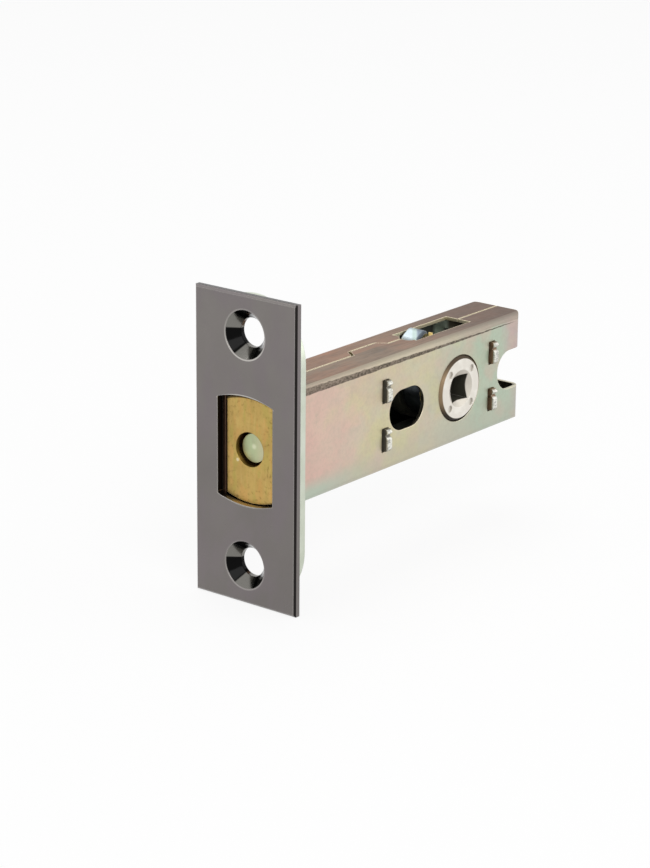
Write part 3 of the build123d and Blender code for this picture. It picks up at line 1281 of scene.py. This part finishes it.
@dataclass
class Forend(Assembly):
    """Faceplate and the plate behind it."""

    front: Finish = BlackNickel(
        "black_nickel",
        colour=(0.190, 0.175, 0.167),
        worn=(0.52, 0.50, 0.47),
        roughness=0.30,
        grain=Grain.POLISHED,
        edge=0.30,
        edge_gain=0.7,
    )
    back: Finish = ForendZinc(
        "forend_zinc", colour=(0.56, 0.60, 0.50), worn=(0.70, 0.73, 0.65), roughness=0.38
    )

    def pieces(self) -> list[Piece]:
        """Pieces of the forend."""
        return [Piece("faceplate", self.front), Piece("inner_forend", self.back)]


@dataclass
class Case(Assembly):
    """Pressed halves, the spacers staked through them and the detent leaf."""

    shell: Finish = Passivate(
        "passivate",
        colour=(0.60, 0.53, 0.39),
        worn=(0.74, 0.66, 0.50),
        roughness=0.38,
        relief=0.12,
        edge=0.22,
        edge_gain=0.9,
    )
    spacer: Finish = StakedZinc(
        "spacer_zinc",
        colour=(0.50, 0.51, 0.46),
        worn=(0.74, 0.73, 0.66),
        roughness=0.34,
        metallic=0.6,
        relief=0.4,
        edge=0.2,
        edge_gain=0.2,
    )
    leaf: Finish = Finish(
        "spring_steel",
        colour=(0.26, 0.27, 0.29),
        worn=(0.40, 0.41, 0.43),
        roughness=0.32,
        grain=Grain.DRAWN,
    )

    def pieces(self) -> list[Piece]:
        """Pieces of the case.

        Returns:
            The halves, the spacers and the leaf.
        """
        halves = [Piece(name, self.shell) for name in ("case_near", "case_far")]
        ties = [Piece(name, self.spacer) for name in ("spacer_front", "spacer_rear")]
        return [*halves, *ties, Piece("detent_spring", self.leaf)]


@dataclass
class Bolt(Assembly):
    """Brass bolt with its hard pin, and the draw bar pinned under it."""

    bar: Finish = MottledBrass(
        "mottled_brass",
        colour=(0.56, 0.385, 0.125),
        worn=(0.45, 0.30, 0.095),
        roughness=0.38,
        grain=Grain.DRAWN,
        relief=0.20,
        edge=0.25,
    )
    pin: Finish = HardPin(
        "hard_steel",
        colour=(0.48, 0.56, 0.33),
        worn=(0.76, 0.78, 0.56),
        roughness=0.42,
        grain=Grain.DRAWN,
    )
    draw: Finish = Finish(
        "draw_zinc", colour=(0.52, 0.54, 0.48), worn=(0.72, 0.74, 0.68), roughness=0.36
    )

    def pieces(self) -> list[Piece]:
        """Pieces of the bolt."""
        pins = [Piece(name, self.pin) for name in ("bolt_pin", "draw_pins")]
        return [Piece("bolt", self.bar), *pins, Piece("draw_bar", self.draw)]


@dataclass
class Follower(Assembly):
    """Cam plates, rivets and the bushes that carry them."""

    bush: Finish = HubCast(
        "hub_zinc",
        colour=(0.70, 0.665, 0.60),
        worn=(0.82, 0.79, 0.73),
        roughness=0.50,
        metallic=0.7,
        grain=Grain.CAST,
        relief=0.12,
        edge=0.15,
    )
    cam: Finish = CamZinc(
        "cam_zinc",
        colour=(0.42, 0.49, 0.51),
        worn=(0.54, 0.61, 0.63),
        roughness=0.40,
        relief=0.5,
        edge=0.3,
        edge_gain=0.2,
    )
    side: Finish = Finish(
        "gold_zinc", colour=(0.66, 0.47, 0.16), worn=(0.84, 0.70, 0.36), roughness=0.30
    )
    rivet: Finish = Finish(
        "rivet_steel", colour=(0.40, 0.41, 0.42), worn=(0.60, 0.61, 0.62), roughness=0.33
    )

    def pieces(self) -> list[Piece]:
        """Pieces of the follower.

        Returns:
            The bushes, the cam, its side plate and the rivets.
        """
        bushes = [Piece(name, self.bush) for name in ("bush_near", "bush_far")]
        cam = [Piece("cam", self.cam), Piece("cam_side", self.side)]
        return [*bushes, *cam, Piece("cam_rivets", self.rivet)]


@dataclass(frozen=True)
class Lamp:
    """Square soft lamp."""

    name: str
    place: Point
    size: float
    power: float


@dataclass
class Studio:
    """Floor, soft light and the camera of the photograph."""

    floor_z: float = -30.1
    floor_side: float = 8000.0
    floor_grey: float = 0.86
    floor_roughness: float = 0.9
    floor_glow: float = 0.86
    ambient: float = 0.55
    middle: Point = (35.0, 0.0, 0.0)
    lamps: tuple[Lamp, ...] = (
        Lamp("key", (-500.0, -650.0, 700.0), 700.0, 5.0),
        Lamp("fill", (550.0, -700.0, 350.0), 800.0, 2.2),
        Lamp("top", (150.0, 350.0, 900.0), 700.0, 2.5),
    )
    eye: Point = (-378.267, -319.046, 162.642)
    right: Point = (0.62367853, -0.78163446, 0.00852445)
    up: Point = (0.23426775, 0.19730773, 0.95193922)
    ahead: Point = (0.74575044, 0.59170705, -0.30616834)
    lens: float = 155.98
    sensor: float = 36.0
    nearest: float = 10.0

    def floor(self) -> None:
        """Pale floor that stays near white and keeps a faint shadow."""
        bpy.ops.object.select_all(action="DESELECT")
        place = (0.0, 0.0, self.floor_z * MM)
        bpy.ops.mesh.primitive_plane_add(size=self.floor_side * MM, location=place)
        plane = bpy.context.object
        plane.name = "floor"
        bpy.ops.object.transform_apply(location=True, rotation=True, scale=True)
        graph = Surface("pale_floor")
        graph.feed("Base Color", (self.floor_grey, self.floor_grey, self.floor_grey, 1.0))
        graph.feed("Roughness", self.floor_roughness)
        glow = graph.node("ShaderNodeEmission", None, {"Color": WHITE, "Strength": 1.0})
        ends = {0: graph.seen() * self.floor_glow, 1: graph.shaded, 2: glow}
        both = graph.node("ShaderNodeMixShader", None, ends)
        graph.tree.links.new(both.socket, graph.output.inputs["Surface"])
        plane.data.materials.append(graph.owner)

    def world(self) -> None:
        """Even white surround, lower for the light that falls on the object."""
        world = bpy.data.worlds.new("surround")
        bpy.context.scene.world = world
        graph = Graph(world)
        level = self.ambient + graph.seen() * (1 - self.ambient)
        white = graph.node("ShaderNodeBackground", None, {"Color": WHITE, "Strength": level})
        graph.make("ShaderNodeOutputWorld", None, {"Surface": white})

    def lights(self) -> None:
        """Large soft lamps that face the middle of the case."""
        for lamp in self.lamps:
            data = bpy.data.lights.new(lamp.name, "AREA")
            data.size = lamp.size * MM
            data.energy = lamp.power
            lit = bpy.data.objects.new(lamp.name, data)
            bpy.context.collection.objects.link(lit)
            lit.location = Vector(lamp.place) * MM
            aim = Vector(self.middle) - Vector(lamp.place)
            lit.rotation_euler = aim.to_track_quat("-Z", "Y").to_euler()

    def camera(self) -> None:
        """Camera where the photograph was taken from."""
        data = bpy.data.cameras.new("camera")
        data.sensor_fit = "HORIZONTAL"
        data.sensor_width = self.sensor
        data.lens = self.lens
        data.clip_start = self.nearest * MM
        camera = bpy.data.objects.new("camera", data)
        bpy.context.collection.objects.link(camera)
        turn = Matrix((self.right, self.up, -Vector(self.ahead))).transposed().to_4x4()
        camera.matrix_world = Matrix.Translation(Vector(self.eye) * MM) @ turn
        bpy.context.scene.camera = camera

    def set_up(self) -> None:
        """Builds the whole studio."""
        self.floor()
        self.world()
        self.lights()
        self.camera()
        bpy.context.scene.view_settings.view_transform = "Standard"
        LOG.info("studio ready")


def main() -> None:
    """Builds the deadbolt's looks, piece by piece."""
    logging.basicConfig(level=logging.INFO)
    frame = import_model()
    made: dict[str, bpy.types.Material] = {}
    for part in (Forend(), Case(), Bolt(), Follower()):
        part.dress(frame, made)
    Studio().set_up()


if __name__ == "__main__":
    main()
